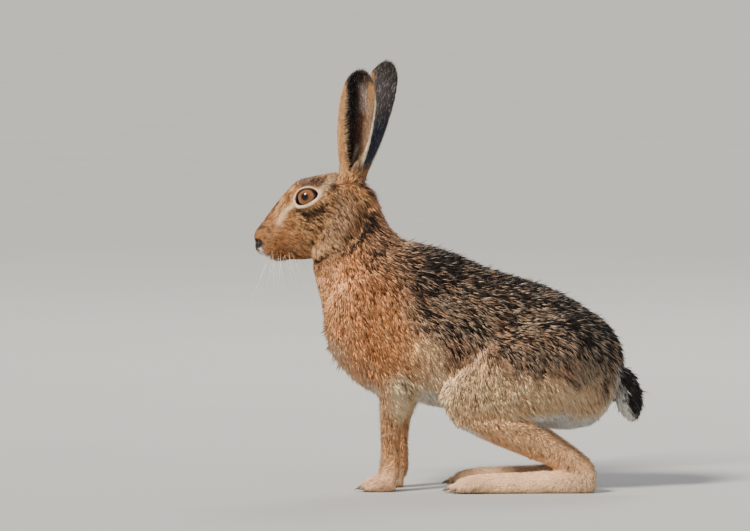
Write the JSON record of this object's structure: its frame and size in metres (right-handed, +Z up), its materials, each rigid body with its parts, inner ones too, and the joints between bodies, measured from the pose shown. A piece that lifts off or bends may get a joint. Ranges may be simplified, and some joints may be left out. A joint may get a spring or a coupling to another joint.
{
  "type": "brown hare",
  "caption": "Brown hare sitting up on its haunches with tall ears raised, a still life-size model with its parts as separate pieces.",
  "frame": {"origin": "centre of the bounding box's bottom face, on the floor under the hare", "axes": "+Z up, the hare faces -X, its left side towards -Y"},
  "size_m": [0.3872, 0.138, 0.428],
  "materials": {
    "head": "dense grizzled fur",
    "neck": "dense grizzled fur",
    "torso": "dense grizzled fur",
    "tail": "dense grizzled fur",
    "foreleg_left": "dense grizzled fur",
    "foreleg_right": "dense grizzled fur",
    "forefoot_left": "dense grizzled fur",
    "forefoot_right": "dense grizzled fur",
    "hindleg_left": "dense grizzled fur",
    "hindleg_right": "dense grizzled fur",
    "hindfoot_left": "dense grizzled fur",
    "hindfoot_right": "dense grizzled fur",
    "ear_left": "thin short fur over skin",
    "ear_right": "thin short fur over skin",
    "eye_left": "wet amber-brown eye",
    "eye_right": "wet amber-brown eye"
  },
  "bodies": {
    "root": {"head": "head", "neck": "neck", "torso": "torso", "tail": "tail", "foreleg_left": "foreleg_left", "foreleg_right": "foreleg_right", "forefoot_left": "forefoot_left", "forefoot_right": "forefoot_right", "hindleg_left": "hindleg_left", "hindleg_right": "hindleg_right", "hindfoot_left": "hindfoot_left", "hindfoot_right": "hindfoot_right", "ear_left": "ear_left", "ear_right": "ear_right", "eye_left": "eye_left", "eye_right": "eye_right"}
  },
  "joints": []
}
